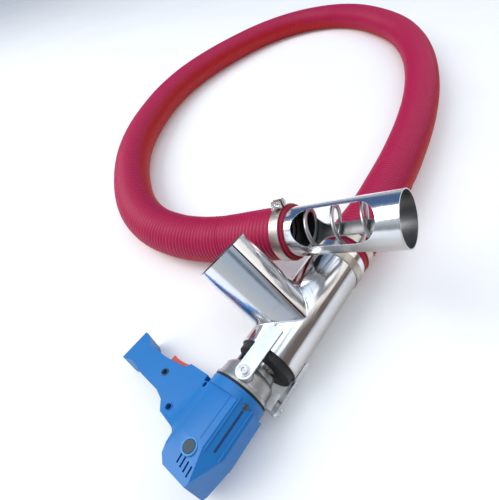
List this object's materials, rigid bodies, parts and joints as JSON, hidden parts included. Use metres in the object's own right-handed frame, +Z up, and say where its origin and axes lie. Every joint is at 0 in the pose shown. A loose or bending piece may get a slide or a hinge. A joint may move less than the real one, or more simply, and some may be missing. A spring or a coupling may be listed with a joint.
{
  "type": "grain auger",
  "caption": "Drill-driven flexible grain auger: Y-shaped steel housing with discharge spout, ribbed hose with inner spiral, windowed pickup tube.",
  "frame": {"origin": "centre of the base of the steel housing and drill, on the surface that they lie on", "axes": "+X along the main tube from the drill towards the hose, +Y towards the drill's handle, +Z up"},
  "size_m": [1.4438, 0.9149, 0.1876],
  "materials": {
    "polished_steel": "polished",
    "bracket_steel": "satin",
    "clamp_steel": "satin",
    "fastener_steel": "polished",
    "spiral_steel": "satin",
    "machined_steel": "satin",
    "bearing_steel": "polished",
    "bronze": "satin",
    "seal_rubber": "matte",
    "hose_plastic": "gloss",
    "case_aluminium": "satin",
    "blue_plastic": "satin",
    "trigger_plastic": "satin",
    "dark_plastic": "matte",
    "screw_black": "blackened",
    "lamination": "matte",
    "copper": "satin",
    "brass": "satin",
    "carbon": "matte"
  },
  "bodies": {
    "frame": {"y_housing": "polished_steel", "pickup_tube": "polished_steel", "hose_adapter": "polished_steel", "bracket_arms": "bracket_steel", "band_clamp": "clamp_steel", "adapter_clamp": "clamp_steel", "pickup_clamp": "clamp_steel", "arm_bolts": "fastener_steel", "arm_washers": "fastener_steel", "band_bolt": "fastener_steel", "adapter_clamp_bolt": "fastener_steel", "pickup_clamp_bolt": "fastener_steel", "case_screws": "fastener_steel", "hose_spiral": "spiral_steel", "spindle_bearing": "bearing_steel", "motor_bearings": "bearing_steel", "shaft_bush": "bronze", "layshaft_bushes": "bronze", "seal_plug": "seal_rubber", "case_gasket": "seal_rubber", "cord_bush": "seal_rubber", "hose": "hose_plastic", "gear_case": "case_aluminium", "housing_left": "blue_plastic", "housing_right": "blue_plastic", "front_ring": "blue_plastic", "switch_body": "dark_plastic", "brush_caps": "dark_plastic", "housing_screws": "screw_black", "stator_core": "lamination", "field_coils": "copper", "brush_holders": "brass", "carbon_brushes": "carbon"},
    "spindle_drive": {"spindle": "machined_steel", "spindle_gear": "machined_steel", "drive_shaft": "machined_steel", "spiral_hub": "machined_steel", "hub_pin": "fastener_steel", "feed_spiral": "spiral_steel"},
    "layshaft_set": {"layshaft": "machined_steel", "layshaft_gear": "machined_steel"},
    "armature": {"armature_shaft": "machined_steel", "armature_core": "lamination", "commutator": "copper", "cooling_fan": "dark_plastic"},
    "pickup_drive": {"pickup_spiral": "spiral_steel"},
    "trigger": {"trigger": "trigger_plastic"},
    "lock_button": {"lock_button": "dark_plastic"}
  },
  "joints": [
    {"name": "spindle_spin", "type": "hinge", "parent": "frame", "child": "spindle_drive", "pos_m": [-0.041, -0.0656, 0.04194], "axis": [1, 0, 0], "continuous": true},
    {"name": "layshaft_spin", "type": "hinge", "parent": "frame", "child": "layshaft_set", "pos_m": [-0.041, -0.04616, 0.03907], "axis": [1, 0, 0], "continuous": true},
    {"name": "armature_spin", "type": "hinge", "parent": "frame", "child": "armature", "pos_m": [-0.041, -0.0656, 0.04194], "axis": [1, 0, 0], "continuous": true},
    {"name": "pickup_spin", "type": "hinge", "parent": "frame", "child": "pickup_drive", "pos_m": [0.122, -0.0646, 0.12219], "axis": [0.1769, -0.9101, 0.3746], "continuous": true},
    {"name": "trigger_pull", "type": "slide", "parent": "frame", "child": "trigger", "axis": [-1, 0, 0], "range_m": [0, 0.005], "stiffness_N_per_m": 800, "springref_m": -0.002},
    {"name": "lock_press", "type": "slide", "parent": "frame", "child": "lock_button", "axis": [-1, 0, 0], "range_m": [0, 0.002], "stiffness_N_per_m": 600, "springref_m": -0.002}
  ],
  "couplings": [
    {"joint": "layshaft_spin", "follows": "spindle_spin", "ratio": -3.6667},
    {"joint": "armature_spin", "follows": "spindle_spin", "ratio": 13.444},
    {"joint": "pickup_spin", "follows": "spindle_spin", "ratio": 1}
  ]
}
